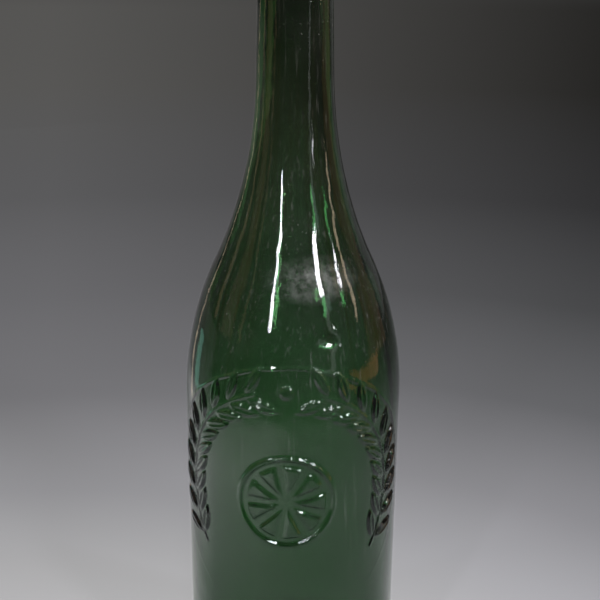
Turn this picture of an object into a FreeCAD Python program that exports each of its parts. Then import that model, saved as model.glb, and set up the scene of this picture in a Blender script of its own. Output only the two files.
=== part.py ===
"""Glass soda bottle with a round embossed panel and a cork-lined crown cap.

The frame has +Z up, its origin at the middle of the ring that the bottle stands on,
and the embossed panel facing -Y. All sizes are millimetres.
"""

import FreeCAD
import Part
import math
import os

import Sketcher

vec = FreeCAD.Vector

# Driving dimensions, one spreadsheet cell each
SIZES = {
    # glass body
    "total_height": 300.0,
    "body_diameter": 80.0,
    "body_wall": 4.0,
    "heel_radius": 7.0,
    "standing_ring_width": 6.0,
    "push_up_height": 9.0,
    "base_thickness": 7.0,
    "inner_heel_radius": 9.0,
    # shoulder and neck
    "shoulder_start": 128.0,
    "shoulder_radius": 120.0,
    "neck_start": 242.0,
    "neck_root_diameter": 27.0,
    "neck_root_wall": 2.8,
    "neck_top_diameter": 25.2,
    # crown finish at the mouth
    "finish_height": 22.0,
    "mouth_bore_diameter": 17.0,
    "mouth_round": 0.8,
    "lip_diameter": 26.6,
    "lip_round": 1.8,
    "lip_height": 4.4,
    "groove_height": 4.6,
    "groove_curve": 3.2,
    "collar_diameter": 28.6,
    "collar_height": 5.0,
    "collar_curve": 3.6,
    # embossed panel
    "panel_height": 102.0,
    "relief_height": 1.0,
    "relief_bite": 1.2,
    "garland_radius": 41.0,
    "garland_reach": 122.0,
    "garland_opening": 22.0,
    "leaf_stations": 10,
    "leaf_length": 12.0,
    "leaf_width": 4.2,
    "leaf_splay": 40.0,
    "leaf_stalk": 1.2,
    "crest_bead_diameter": 5.0,
    "slice_diameter": 36.0,
    "slice_rind": 2.2,
    "slice_pith": 1.8,
    "slice_heart": 2.6,
    "slice_segments": 9,
    "slice_gap": 1.5,
    # crown cap
    "cap_sheet": 0.3,
    "cap_clearance": 0.15,
    "cap_corner": 1.6,
    "cap_plain_band": 1.0,
    "cap_skirt": 4.0,
    "flute_count": 24,
    "flute_depth": 1.0,
    # cork liner and its facing
    "cork_thickness": 2.2,
    "cork_clearance": 0.15,
    "spot_thickness": 0.15,
    "spot_margin": 0.5,
}

doc = FreeCAD.newDocument("soda_bottle")
sheet = doc.addObject("Spreadsheet::Sheet", "Sizes")
for row, (alias, value) in enumerate(SIZES.items(), start=1):
    sheet.set(f"A{row}", alias)
    sheet.set(f"B{row}", str(value))
    sheet.setAlias(f"B{row}", alias)
doc.recompute()


class Size:
    """A length that keeps the spreadsheet expression that it was worked out with."""

    def __init__(self, number, text):
        self.number = number
        self.text = text

    def __float__(self):
        return self.number

    def joined(self, sign, other, number):
        right = other.text if isinstance(other, Size) else str(other)
        return Size(number, f"({self.text} {sign} {right})")

    def __add__(self, other):
        return self.joined("+", other, float(self) + float(other))

    def __sub__(self, other):
        return self.joined("-", other, float(self) - float(other))

    def __truediv__(self, other):
        return self.joined("/", other, float(self) / float(other))


def size(alias):
    """The size in a spreadsheet cell."""
    return Size(float(sheet.get(alias)), f"Sizes.{alias}")


def number(alias):
    """The plain number in a spreadsheet cell."""
    return float(sheet.get(alias))


class Section:
    """A closed half section in the XZ plane, drawn from point to point and turned about Z.

    A point is a radius and a height. A coordinate that is a Size is held to its expression, a
    zero is held on the axis, and any other number is a start from which the joins settle it.
    """

    START, END, CENTRE = 1, 2, 3
    ORIGIN, Z_AXIS, X_AXIS = (-1, 1), -2, -1

    def __init__(self, body, name, start):
        self.body = body
        self.sketch = body.newObject("Sketcher::SketchObject", name)
        plane = [o for o in body.Origin.OriginFeatures if o.Role == "XZ_Plane"][0]
        self.sketch.AttachmentSupport = [(plane, "")]
        self.sketch.MapMode = "FlatFace"
        self.start = start
        self.pen = start
        self.first = None
        self.last = None

    def hold(self, kind, value, *target):
        """Adds a dimension that follows a size's expression."""
        index = self.sketch.addConstraint(Sketcher.Constraint(kind, *target, float(value)))
        self.sketch.setExpression(f"Constraints[{index}]", value.text)

    def hold_point(self, edge, end, point):
        for kind, axis, value in zip(("DistanceX", "DistanceY"), (self.Z_AXIS, self.X_AXIS), point):
            if isinstance(value, Size):
                self.hold(kind, value, *self.ORIGIN, edge, end)
            elif value == 0:
                self.sketch.addConstraint(Sketcher.Constraint("PointOnObject", edge, end, axis))

    def join(self, edge, near, far, point, smooth):
        """Joins a new side to the one before it, running smoothly into it if asked."""
        if self.last is None:
            self.first = (edge, near)
            self.hold_point(edge, near, self.start)
        else:
            kind = "Tangent" if smooth else "Coincident"
            self.sketch.addConstraint(Sketcher.Constraint(kind, *self.last, edge, near))
        self.last = (edge, far)
        self.pen = point
        self.hold_point(edge, far, point)

    def line_to(self, point, smooth=False, along=None):
        """A straight side, held Horizontal or Vertical if asked."""
        ends = [vec(float(p[0]), float(p[1]), 0) for p in (self.pen, point)]
        edge = self.sketch.addGeometry(Part.LineSegment(*ends), False)
        self.join(edge, self.START, self.END, point, smooth)
        if along:
            self.sketch.addConstraint(Sketcher.Constraint(along, edge))

    def arc_to(self, point, centre, radius=None, smooth=False):
        """A round side of under half a turn, held to a radius or centred on the axis if asked."""
        middle = vec(float(centre[0]), float(centre[1]), 0)
        arms = [vec(float(p[0]), float(p[1]), 0) - middle for p in (self.pen, point)]
        halfway = (arms[0] + arms[1]).normalize() * arms[0].Length
        curve = Part.Arc(middle + arms[0], middle + halfway, middle + arms[1])
        edge = self.sketch.addGeometry(curve, False)
        begins = self.sketch.getPoint(edge, self.START) - middle
        near, far = self.START, self.END
        if (begins - arms[0]).Length > (begins - arms[1]).Length:
            near, far = far, near
        self.join(edge, near, far, point, smooth)
        if radius is not None:
            self.hold("Radius", radius, edge)
        if centre[0] == 0:
            self.sketch.addConstraint(Sketcher.Constraint("PointOnObject", edge, self.CENTRE, self.Z_AXIS))

    def turn(self, kind, name, smooth=False):
        """Closes the section and turns it about Z, as a Revolution or a Groove."""
        ends = [vec(float(p[0]), float(p[1]), 0) for p in (self.pen, self.start)]
        edge = self.sketch.addGeometry(Part.LineSegment(*ends), False)
        self.sketch.addConstraint(
            Sketcher.Constraint("Tangent" if smooth else "Coincident", *self.last, edge, self.START)
        )
        self.sketch.addConstraint(Sketcher.Constraint("Coincident", edge, self.END, *self.first))
        doc.recompute()
        feature = self.body.newObject(f"PartDesign::{kind}", name)
        feature.Profile = self.sketch
        feature.ReferenceAxis = (self.sketch, ["V_Axis"])
        feature.Angle = 360.0
        doc.recompute()


def bowed_centre(start, end, radius, side):
    """The centre of an arc from start to end, to the left of that way for side 1."""
    x0, z0, x1, z1 = (float(value) for value in (*start, *end))
    chord = math.hypot(x1 - x0, z1 - z0)
    reach = side * math.sqrt(float(radius) ** 2 - chord**2 / 4) / chord
    return ((x0 + x1) / 2 - reach * (z1 - z0), (z0 + z1) / 2 + reach * (x1 - x0))


# Sizes that more than one section uses
body_radius = size("body_diameter") / 2
top = size("total_height")
finish_start = top - size("finish_height")
bore_radius = size("mouth_bore_diameter") / 2
lip_radius = size("lip_diameter") / 2


def draw_shoulder(section, lower_radius, neck_root, neck_end):
    """Draws the shoulder and the neck of a section that has reached the top of the straight wall.

    Two arcs run into each other: the lower one starts upright at the wall, and the upper one ends
    along the neck's own line. The upper radius is the one that lets the two arcs touch.
    """
    wall, start = float(section.pen[0]), float(section.pen[1])
    neck, height = float(neck_root[0]), float(neck_root[1])
    lean = math.atan2(neck - float(neck_end[0]), float(neck_end[1]) - height)
    lower = float(lower_radius)
    lower_centre = (wall - lower, start)
    across, along = neck - lower_centre[0], height - start
    outward = across * math.cos(lean) + along * math.sin(lean)
    upper = (across**2 + along**2 - lower**2) / (2 * (lower - outward))
    upper_centre = (neck + upper * math.cos(lean), height + upper * math.sin(lean))
    rise = math.atan2(upper_centre[1] - start, upper_centre[0] - lower_centre[0])
    meeting = (lower_centre[0] + lower * math.cos(rise), start + lower * math.sin(rise))
    section.arc_to(meeting, lower_centre, lower_radius, smooth=True)
    section.arc_to(neck_root, upper_centre, smooth=True)
    section.line_to(neck_end, smooth=True)


def draw_outside(body):
    """The outside of the glass, from the push-up in its base to the top of its lip."""
    heel = size("heel_radius")
    push_up = size("push_up_height")
    ring_outside = body_radius - heel
    ring_inside = ring_outside - size("standing_ring_width")
    dome = (float(ring_inside) ** 2 + float(push_up) ** 2) / (2 * float(push_up))
    section = Section(body, "outside_section", (0, push_up))
    section.arc_to((ring_inside, 0), (0, float(push_up) - dome))
    section.line_to((ring_outside, 0))
    section.arc_to((float(body_radius), float(heel)), (float(ring_outside), float(heel)), smooth=True)
    section.line_to((body_radius, size("shoulder_start")), smooth=True, along="Vertical")
    neck_root = (size("neck_root_diameter") / 2, size("neck_start"))
    neck_end = (size("neck_top_diameter") / 2, finish_start)
    draw_shoulder(section, size("shoulder_radius"), neck_root, neck_end)

    collar = size("collar_diameter") / 2
    lip_bottom = top - size("lip_height")
    collar_top = lip_bottom - size("groove_height")
    collar_bottom = collar_top - size("collar_height")
    section.line_to((collar, collar_bottom))
    collar_curve, groove_curve = size("collar_curve"), size("groove_curve")
    collar_edge, lip_edge = (collar, collar_top), (lip_radius, lip_bottom)
    section.arc_to(collar_edge, bowed_centre(section.pen, collar_edge, collar_curve, 1), collar_curve)
    section.arc_to(lip_edge, bowed_centre(collar_edge, lip_edge, groove_curve, -1), groove_curve)
    lip_round = size("lip_round")
    shoulder, land = float(top - lip_round), float(lip_radius - lip_round)
    section.line_to((float(lip_radius), shoulder), along="Vertical")
    section.arc_to((land, float(top)), (land, shoulder), lip_round, smooth=True)
    section.line_to((0, top), smooth=True, along="Horizontal")
    section.turn("Revolution", "outside_turn")


def draw_cavity(body):
    """The inside of the glass, from the floor over the push-up to the mouth."""
    floor = size("base_thickness")
    heel = size("inner_heel_radius")
    wall = body_radius - size("body_wall")
    crest = floor + size("push_up_height")
    floor_edge = wall - heel
    rise = float(crest - floor)
    dome = (float(floor_edge) ** 2 + rise**2) / (2 * rise)
    section = Section(body, "cavity_section", (0, crest))
    section.arc_to((floor_edge, floor), (0, float(crest) - dome))
    section.arc_to((wall, floor + heel), (float(floor_edge), float(floor + heel)), heel)
    section.line_to((wall, size("shoulder_start")))
    neck_root = (size("neck_root_diameter") / 2 - size("neck_root_wall"), size("neck_start"))
    neck_end = (bore_radius, finish_start)
    draw_shoulder(section, size("shoulder_radius") - size("body_wall"), neck_root, neck_end)
    flare = size("mouth_round")
    section.line_to((bore_radius, top - flare))
    section.arc_to((bore_radius + flare, top), (float(bore_radius + flare), float(top - flare)), flare)
    section.line_to((0, top))
    section.turn("Groove", "cavity_turn")


def make_bottle_blank():
    """The bottle before its embossing: a turned blank with the cavity cut out of it."""
    body = doc.addObject("PartDesign::Body", "bottle_blank")
    draw_outside(body)
    solid_volume = body.Shape.Volume
    draw_cavity(body)
    if not 0 < body.Shape.Volume < solid_volume / 2:
        raise RuntimeError("the cavity was not cut out of the glass")
    return body


def make_relief_skin():
    """A thin skin along the wall and the foot of the shoulder, as deep as the embossing."""
    relief, bite = size("relief_height"), size("relief_bite")
    start, curve = size("shoulder_start"), size("shoulder_radius")
    reach = size("garland_radius") + size("leaf_length")
    low, high = size("panel_height") - reach, size("panel_height") + reach
    centre = (float(body_radius - curve), float(start))

    def radius_at_top(offset_curve):
        return centre[0] + math.sqrt(float(offset_curve) ** 2 - float(high - start) ** 2)

    outer_curve, inner_curve = curve + relief, curve - bite
    body = doc.addObject("PartDesign::Body", "relief_skin")
    section = Section(body, "skin_section", (body_radius - bite, low))
    section.line_to((body_radius + relief, low))
    section.line_to((body_radius + relief, start))
    section.arc_to((radius_at_top(outer_curve), high), centre, outer_curve, smooth=True)
    section.line_to((radius_at_top(inner_curve), float(high)), along="Horizontal")
    section.arc_to((body_radius - bite, start), centre, inner_curve)
    section.turn("Revolution", "skin_turn", smooth=True)
    return body


def panel_prism(place, draw):
    """A prism that stands out through the wall, from a closed outline round a place on the panel.

    Places are measured on the unrolled wall, to the right and up from the panel's middle. The
    outline is drawn by a function that is given the mapping from such places to points.
    """
    radius = float(body_radius)
    turn = place[0] / radius
    outward = vec(math.sin(turn), -math.cos(turn), 0)
    sideways = vec(math.cos(turn), math.sin(turn), 0)
    depth = radius / 4
    middle = outward * (radius - depth) + vec(0, 0, number("panel_height") + place[1])

    def to_wall(spot):
        return middle + sideways * (spot[0] - place[0]) + vec(0, 0, spot[1] - place[1])

    outline = Part.Wire(Part.__sortEdges__([side.toShape() for side in draw(to_wall)]))
    return Part.Face(outline).extrude(outward * (2 * depth))


def round_from(middle, radius, angle):
    """A place at that radius and angle round another."""
    return (middle[0] + radius * math.cos(angle), middle[1] + radius * math.sin(angle))


def leaf(base, heading):
    """A pointed leaf that grows from its base along a heading."""
    length, half_width = number("leaf_length"), number("leaf_width") / 2
    middle = round_from(base, length / 2, heading)
    tip = round_from(base, length, heading)
    flanks = [round_from(middle, half_width, heading + side * math.pi / 2) for side in (-1, 1)]

    def draw(to_wall):
        return [Part.Arc(to_wall(base), to_wall(flank), to_wall(tip)) for flank in flanks]

    return panel_prism(middle, draw)


def bead(place, diameter):
    """A round bead."""
    quarters = [quarter * math.pi / 2 for quarter in range(4)]
    right, above, left, below = (round_from(place, diameter / 2, angle) for angle in quarters)

    def draw(to_wall):
        return [Part.Arc(to_wall(right), to_wall(spot), to_wall(left)) for spot in (above, below)]

    return panel_prism(place, draw)


def make_garland():
    """Two branches of paired leaves that climb the panel's sides to a bead at its top."""
    radius = number("garland_radius")
    stations = int(number("leaf_stations"))
    foot, opening = math.radians(number("garland_reach")), math.radians(number("garland_opening"))
    splay = math.radians(number("leaf_splay"))
    prisms = [bead((0, radius), number("crest_bead_diameter"))]
    for side in (-1, 1):
        for station in range(stations):
            from_top = foot + (opening - foot) * station / (stations - 1)
            stem = round_from((0, 0), radius, math.pi / 2 - side * from_top)
            growing = math.pi / 2 + side * (math.pi / 2 - from_top)
            for heading in (growing - splay, growing + splay):
                prisms.append(leaf(round_from(stem, number("leaf_stalk"), heading), heading))
    return prisms


def slice_segment(middle, spread, inner, outer):
    """One segment of the fruit slice, pointed at the slice's heart."""
    heart = (0, 0)
    point, crown = round_from(heart, inner, middle), round_from(heart, outer, middle)
    first, last = (round_from(heart, outer, middle + side * spread / 2) for side in (-1, 1))

    def draw(to_wall):
        return [
            Part.LineSegment(to_wall(point), to_wall(first)),
            Part.Arc(to_wall(first), to_wall(crown), to_wall(last)),
            Part.LineSegment(to_wall(last), to_wall(point)),
        ]

    return panel_prism(round_from(heart, (inner + outer) / 2, middle), draw)


def make_fruit_slice():
    """A round slice of fruit in the middle of the panel: its rind and its segments."""
    outside = number("slice_diameter") / 2
    rind_inside = outside - number("slice_rind")
    flesh = rind_inside - number("slice_pith")
    count = int(number("slice_segments"))
    pitch = 2 * math.pi / count
    spread = pitch - number("slice_gap") / flesh
    prisms = [slice_segment(index * pitch, spread, number("slice_heart"), flesh) for index in range(count)]
    depth = float(body_radius)
    middle, outward = vec(0, 0, number("panel_height")), vec(0, -1, 0)
    rind = Part.makeCylinder(outside, 2 * depth, middle, outward)
    prisms.append(rind.cut(Part.makeCylinder(rind_inside, 2 * depth, middle, outward)))
    return prisms


def make_glass_bottle():
    """The bottle with its embossing, one piece of glass."""
    blank = make_bottle_blank()
    skin = make_relief_skin()
    motif = doc.addObject("Part::Feature", "relief_motif")
    prisms = make_garland() + make_fruit_slice()
    motif.Shape = Part.makeCompound([prism.common(skin.Shape) for prism in prisms])
    bottle = doc.addObject("Part::MultiFuse", "glass_bottle")
    bottle.Shapes = [blank, motif]
    doc.recompute()
    return bottle


# Sizes that the cap's pieces share
cap_sheet = size("cap_sheet")
cap_corner = size("cap_corner")
cap_inside = lip_radius + size("cap_clearance")
cap_outside = cap_inside + cap_sheet
cap_under = top + size("cork_thickness")
cap_over = cap_under + cap_sheet
band_end = cap_over - cap_corner - size("cap_plain_band")
spot_radius = bore_radius - size("spot_margin")


def draw_round(section, wall, level, radius, upward):
    """Draws the quarter round between a cap's upright wall and a flat level above it."""
    flat_end = (float(wall - radius), float(level))
    wall_end = (float(wall), float(level - radius))
    centre = (flat_end[0], wall_end[1])
    section.line_to(wall_end if upward else flat_end, along="Vertical" if upward else "Horizontal")
    section.arc_to(flat_end if upward else wall_end, centre, radius, smooth=True)


def make_crown_cup():
    """The flat top of the cap, its rounded corner and the plain band above the flutes."""
    body = doc.addObject("PartDesign::Body", "crown_cup")
    section = Section(body, "cup_section", (0, cap_over))
    draw_round(section, cap_outside, cap_over, cap_corner, upward=False)
    section.line_to((cap_outside, band_end), smooth=True, along="Vertical")
    section.line_to((cap_inside, band_end))
    draw_round(section, cap_inside, cap_under, cap_corner - cap_sheet, upward=True)
    section.line_to((0, cap_under), smooth=True, along="Horizontal")
    section.turn("Revolution", "cup_turn")
    return body


def fluted_ring(valley, crest, height):
    """A closed wire of arcs that waves between two radii, one crest and one valley a flute."""
    count = int(number("flute_count"))
    step = math.pi / count

    def spot(radius, angle):
        return vec(radius * math.cos(angle), radius * math.sin(angle), height)

    between = (valley + crest) / 2
    arcs = []
    for index in range(2 * count):
        angle = index * step
        peak = crest if index % 2 == 0 else valley
        ends = [spot(between, angle + side * step / 2) for side in (-1, 1)]
        arcs.append(Part.Arc(ends[0], spot(peak, angle), ends[1]).toShape())
    return Part.Wire(arcs)


def make_crown_shell():
    """The tinplate cap: its cup and the fluted skirt that hangs from the cup's band."""
    cup = make_crown_cup()
    skirt_end = float(top - size("cap_skirt"))
    walls = []
    for wall in (float(cap_outside), float(cap_inside)):
        plain = fluted_ring(wall, wall, float(band_end))
        waved = fluted_ring(wall, wall + number("flute_depth"), skirt_end)
        walls.append(Part.makeLoft([plain, waved], True, True))
    skirt = doc.addObject("Part::Feature", "crown_skirt")
    skirt.Shape = walls[0].cut(walls[1])
    shell = doc.addObject("Part::MultiFuse", "crown_shell")
    shell.Shapes = [cup, skirt]
    doc.recompute()
    return shell


def make_cork_liner():
    """The cork disc under the cap's top, with a shallow recess for its facing."""
    recess = top + size("spot_thickness")
    edge = cap_inside - size("cork_clearance")
    rounding = cap_corner - cap_sheet + size("cork_clearance")
    body = doc.addObject("PartDesign::Body", "cork_liner")
    section = Section(body, "cork_section", (0, recess))
    section.line_to((spot_radius, recess))
    section.line_to((spot_radius, top))
    section.line_to((edge, top))
    draw_round(section, edge, cap_under, rounding, upward=True)
    section.line_to((0, cap_under), smooth=True, along="Horizontal")
    section.turn("Revolution", "cork_turn")
    return body


def make_foil_spot():
    """The foil disc that faces the cork where the drink would touch it."""
    spot = doc.addObject("Part::Cylinder", "foil_spot")
    spot.setExpression("Radius", spot_radius.text)
    spot.setExpression("Height", size("spot_thickness").text)
    spot.setExpression("Placement.Base.z", top.text)
    doc.recompute()
    return spot


pieces = [make_glass_bottle(), make_crown_shell(), make_cork_liner(), make_foil_spot()]

for item in doc.Objects:
    if {"Invalid", "Error"} & set(item.State):
        raise RuntimeError(f"{item.Name} did not build: {item.State}")
for piece in pieces:
    if piece.Shape.isNull() or not piece.Shape.isValid() or len(piece.Shape.Solids) != 1:
        raise RuntimeError(f"{piece.Label} is not one valid solid")

os.makedirs("parts", exist_ok=True)
for piece in pieces:
    piece.Shape.exportStep(f"parts/{piece.Label}.step")
    print(f"{piece.Label}: {piece.Shape.Volume / 1000:.2f} cm3")
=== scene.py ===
import math

import bmesh
import bpy
import numpy as np
from mathutils import Euler, Matrix, Vector


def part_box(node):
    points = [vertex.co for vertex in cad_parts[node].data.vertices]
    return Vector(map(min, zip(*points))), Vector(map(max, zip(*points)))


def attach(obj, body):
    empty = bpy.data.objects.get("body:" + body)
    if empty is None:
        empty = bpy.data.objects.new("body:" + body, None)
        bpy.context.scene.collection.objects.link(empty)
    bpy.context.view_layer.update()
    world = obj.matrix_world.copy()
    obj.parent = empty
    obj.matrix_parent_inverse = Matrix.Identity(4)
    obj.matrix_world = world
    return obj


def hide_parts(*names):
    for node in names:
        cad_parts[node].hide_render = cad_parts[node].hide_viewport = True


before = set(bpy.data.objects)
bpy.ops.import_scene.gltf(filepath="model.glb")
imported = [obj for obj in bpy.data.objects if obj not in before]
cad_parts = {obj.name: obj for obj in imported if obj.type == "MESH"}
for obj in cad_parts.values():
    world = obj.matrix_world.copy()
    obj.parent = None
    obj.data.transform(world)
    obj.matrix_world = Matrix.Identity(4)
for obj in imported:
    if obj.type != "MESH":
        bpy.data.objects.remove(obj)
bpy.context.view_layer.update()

# Glass bottle
# One piece of dark green glass, blown in a two-leaf mould with a round plate let into its front.
# The plate leaves a raised design and its own seam, and the lip and collar are tooled on last.

BODY_RADIUS = 40.0
BODY_WALL = 4.0
HEEL_RADIUS = 7.0
RING_WIDTH = 6.0
PUSH_UP = 9.0
BASE_THICKNESS = 7.0
INNER_HEEL = 9.0
SHOULDER_START = 128.0
SHOULDER_RADIUS = 120.0
NECK_START = 242.0
NECK_ROOT = 13.5
NECK_ROOT_WALL = 2.8
NECK_TOP = 12.6
FINISH_START = 278.0
COLLAR_RADIUS = 14.3
COLLAR_LOW, COLLAR_HIGH = 286.0, 291.0
COLLAR_CURVE = 3.6
GROOVE_CURVE = 3.2
LIP_RADIUS = 13.3
LIP_LOW = 295.6
LIP_ROUND = 1.8
BORE_RADIUS = 8.5
MOUTH_ROUND = 0.8
TOP = 300.0
PANEL_HEIGHT = 102.0
PLATE_RADIUS, PLATE_RISE = 52.4, 49.0
# How far past the plate the fine rows and the relief reach
PANEL_MARGIN, RELIEF_MARGIN = 3.0, 4.0
# Shapes are in millimetres, and this many make a metre
METRE = 1000.0


def run_points(start, end, step):
    """Points along a straight run, without its first one."""
    count = max(1, round(math.dist(start, end) / step))
    return [tuple(a + (b - a) * k / count for a, b in zip(start, end)) for k in range(1, count + 1)]


def arc_points(start, end, centre, step):
    """Points along an arc of under half a turn, without its first one."""
    radius = math.dist(start, centre)
    first = math.atan2(start[1] - centre[1], start[0] - centre[0])
    turn = math.atan2(end[1] - centre[1], end[0] - centre[0]) - first
    turn = (turn + math.pi) % (2 * math.pi) - math.pi
    count = max(2, round(radius * abs(turn) / step))
    angles = [first + turn * k / count for k in range(1, count + 1)]
    return [(centre[0] + radius * math.cos(a), centre[1] + radius * math.sin(a)) for a in angles]


def bowed_centre(start, end, radius, side):
    """The centre of an arc between two points, to the left of the way along it for side 1."""
    chord = math.dist(start, end)
    reach = side * math.sqrt(radius**2 - chord**2 / 4) / chord
    return (
        (start[0] + end[0]) / 2 - reach * (end[1] - start[1]),
        (start[1] + end[1]) / 2 + reach * (end[0] - start[0]),
    )


def shoulder_points(wall, lower, neck, neck_end, step):
    """The two arcs of the shoulder and the line of the neck, from the top of the straight wall."""
    lean = math.atan2(neck - neck_end[0], neck_end[1] - NECK_START)
    low_centre = (wall - lower, SHOULDER_START)
    across, along = neck - low_centre[0], NECK_START - SHOULDER_START
    outward = across * math.cos(lean) + along * math.sin(lean)
    upper = (across**2 + along**2 - lower**2) / (2 * (lower - outward))
    high_centre = (neck + upper * math.cos(lean), NECK_START + upper * math.sin(lean))
    rise = math.atan2(high_centre[1] - low_centre[1], high_centre[0] - low_centre[0])
    meeting = (low_centre[0] + lower * math.cos(rise), low_centre[1] + lower * math.sin(rise))
    points = arc_points((wall, SHOULDER_START), meeting, low_centre, step)
    points += arc_points(meeting, (neck, NECK_START), high_centre, 2 * step)
    return points + run_points((neck, NECK_START), neck_end, 3 * step)


def dome_points(apex, edge, step):
    """A shallow dome from its top on the axis down to its edge."""
    rise = apex - edge[1]
    radius = (edge[0] ** 2 + rise**2) / (2 * rise)
    return arc_points((0.0, apex), edge, (0.0, apex - radius), step)


def outside_rows():
    """The outside of the glass, from the top of the push-up to the inner edge of the lip."""
    ring_out = BODY_RADIUS - HEEL_RADIUS
    panel_foot = PANEL_HEIGHT - PLATE_RADIUS - PANEL_MARGIN
    collar_top, lip_low = (COLLAR_RADIUS, COLLAR_HIGH), (LIP_RADIUS, LIP_LOW)
    land = LIP_RADIUS - LIP_ROUND
    rows = [(0.0, PUSH_UP)]
    rows += dome_points(PUSH_UP, (ring_out - RING_WIDTH, 0.0), step=2.5)
    rows += run_points(rows[-1], (ring_out, 0.0), step=2.0)
    rows += arc_points(rows[-1], (BODY_RADIUS, HEEL_RADIUS), (ring_out, HEEL_RADIUS), step=1.0)
    rows += run_points(rows[-1], (BODY_RADIUS, panel_foot), step=2.0)
    rows += run_points(rows[-1], (BODY_RADIUS, SHOULDER_START), step=0.4)
    neck_end = (NECK_TOP, FINISH_START)
    rows += shoulder_points(BODY_RADIUS, SHOULDER_RADIUS, NECK_ROOT, neck_end, step=0.5)
    rows += run_points(rows[-1], (COLLAR_RADIUS, COLLAR_LOW), step=1.0)
    collar_centre = bowed_centre(rows[-1], collar_top, COLLAR_CURVE, side=1)
    rows += arc_points(rows[-1], collar_top, collar_centre, step=0.5)
    groove_centre = bowed_centre(collar_top, lip_low, GROOVE_CURVE, side=-1)
    rows += arc_points(collar_top, lip_low, groove_centre, step=0.5)
    rows += run_points(lip_low, (LIP_RADIUS, TOP - LIP_ROUND), step=0.8)
    rows += arc_points(rows[-1], (land, TOP), (land, TOP - LIP_ROUND), step=0.4)
    return rows + run_points(rows[-1], (BORE_RADIUS + MOUTH_ROUND, TOP), step=0.8)


def inside_rows():
    """The inside of the glass, from the mouth down to the top of its floor."""
    wall = BODY_RADIUS - BODY_WALL
    neck = NECK_ROOT - NECK_ROOT_WALL
    neck_end = (BORE_RADIUS, FINISH_START)
    mouth_start, mouth_end = (BORE_RADIUS + MOUTH_ROUND, TOP), (BORE_RADIUS, TOP - MOUTH_ROUND)
    floor_edge = (wall - INNER_HEEL, BASE_THICKNESS)
    heel_top = BASE_THICKNESS + INNER_HEEL
    rows = arc_points(mouth_start, mouth_end, (mouth_start[0], mouth_end[1]), step=0.4)
    rows += run_points(rows[-1], neck_end, step=2.5)
    climb = shoulder_points(wall, SHOULDER_RADIUS - BODY_WALL, neck, neck_end, step=1.4)
    rows += climb[-2::-1] + [(wall, SHOULDER_START)]
    rows += run_points(rows[-1], (wall, heel_top), step=2.0)
    rows += arc_points(rows[-1], floor_edge, (floor_edge[0], heel_top), step=1.5)
    dome = dome_points(BASE_THICKNESS + PUSH_UP, floor_edge, step=2.0)
    return rows + dome[-2::-1] + [(0.0, BASE_THICKNESS + PUSH_UP)]


RELIEF = 1.0
MELT = 1.1
GARLAND_RADIUS = 41.0
GARLAND_REACH, GARLAND_OPENING = 122.0, 22.0
STEM_HEIGHT, STEM_WIDTH = 0.5, 0.5
STEM_TAIL, STEM_TIP = 4.0, 6.0
LEAF_STATIONS = 10
LEAF_LENGTH, LEAF_WIDTH = 12.0, 4.2
LEAF_SPLAY = 40.0
LEAF_STALK = 1.2
MIDRIB_DEPTH, MIDRIB_WIDTH, MIDRIB_FADE = 0.55, 0.4, 3.0
CREST_BEAD = 5.0
SLICE_RADIUS = 18.0
SLICE_RIND = 2.2
SLICE_PITH = 1.8
SLICE_HEART = 2.6
SLICE_SEGMENTS = 9
SLICE_GAP = 1.5
FLESH_HEIGHT = 0.9
SEAM_HEIGHT, SEAM_WIDTH = 0.42, 0.4
# How the seam strays from a true ring: waves round it, their swing in millimetres and their start
SEAM_WANDER = ((7.0, 0.2, 1.3), (19.0, 0.12, 0.0))
# The share of the seam that is left: the least, that beside the plate's middle, and the gain to its top
SEAM_LEAST, SEAM_MIDDLE, SEAM_GAIN = 0.12, 0.3, 1.2


def crowned(depth):
    """The height, from 0 to 1, of a soft moulded form at a depth in from its edge."""
    t = np.clip(depth / MELT, 0.0, 1.0)
    return t * (2.0 - t)


def ridge(distance, width):
    """The height, from 0 to 1, of a rounded line at a distance from its middle."""
    return np.exp(-((distance / width) ** 2))


def leaf_relief(across, up, base, heading):
    """A pointed leaf with a sunk midrib."""
    along = (across - base[0]) * math.cos(heading) + (up - base[1]) * math.sin(heading)
    aside = (up - base[1]) * math.cos(heading) - (across - base[0]) * math.sin(heading)
    flank = (LEAF_LENGTH**2 / 4 + LEAF_WIDTH**2 / 4) / LEAF_WIDTH
    from_waist = along - LEAF_LENGTH / 2
    half_width = np.sqrt(np.maximum(flank**2 - from_waist**2, 0.0)) - (flank - LEAF_WIDTH / 2)
    to_tip = np.clip((LEAF_LENGTH - along) / MIDRIB_FADE, 0.0, 1.0)
    midrib = MIDRIB_DEPTH * ridge(aside, MIDRIB_WIDTH) * to_tip
    return RELIEF * crowned(half_width - np.abs(aside)) * (1.0 - midrib)


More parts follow.
